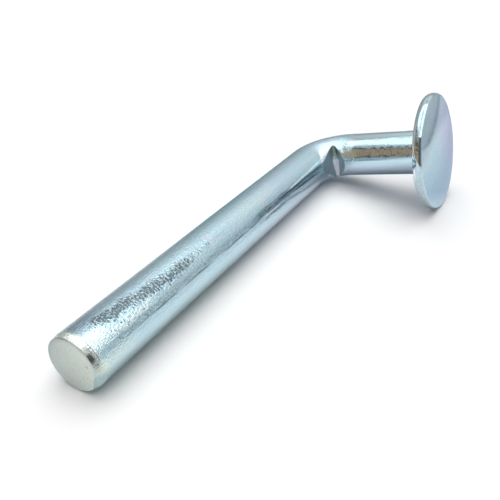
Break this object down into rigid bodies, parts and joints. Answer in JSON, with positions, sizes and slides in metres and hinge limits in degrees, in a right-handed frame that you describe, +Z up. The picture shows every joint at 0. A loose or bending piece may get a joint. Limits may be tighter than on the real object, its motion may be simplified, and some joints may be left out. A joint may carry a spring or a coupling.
{
  "type": "pallet rack drop pin",
  "caption": "Bent round steel pin with a flat round head, bright zinc plated, that locks pallet rack beams.",
  "frame": {"origin": "bottom centre of the box around the pin as it lies at rest: the surface that it lies on is z = 0", "axes": "+X along the long leg from its cropped tip towards the bend, -Y the side of the head, +Z up; the neck leans up from the surface towards -Y by 15.6 degrees"},
  "size_m": [0.08, 0.0292, 0.02],
  "materials": {
    "zinc_plated_steel": "bright zinc plate, pale blue with faint lilac and yellow tints, finely grained"
  },
  "bodies": {
    "root": {"drop_pin": "zinc_plated_steel"}
  },
  "joints": []
}
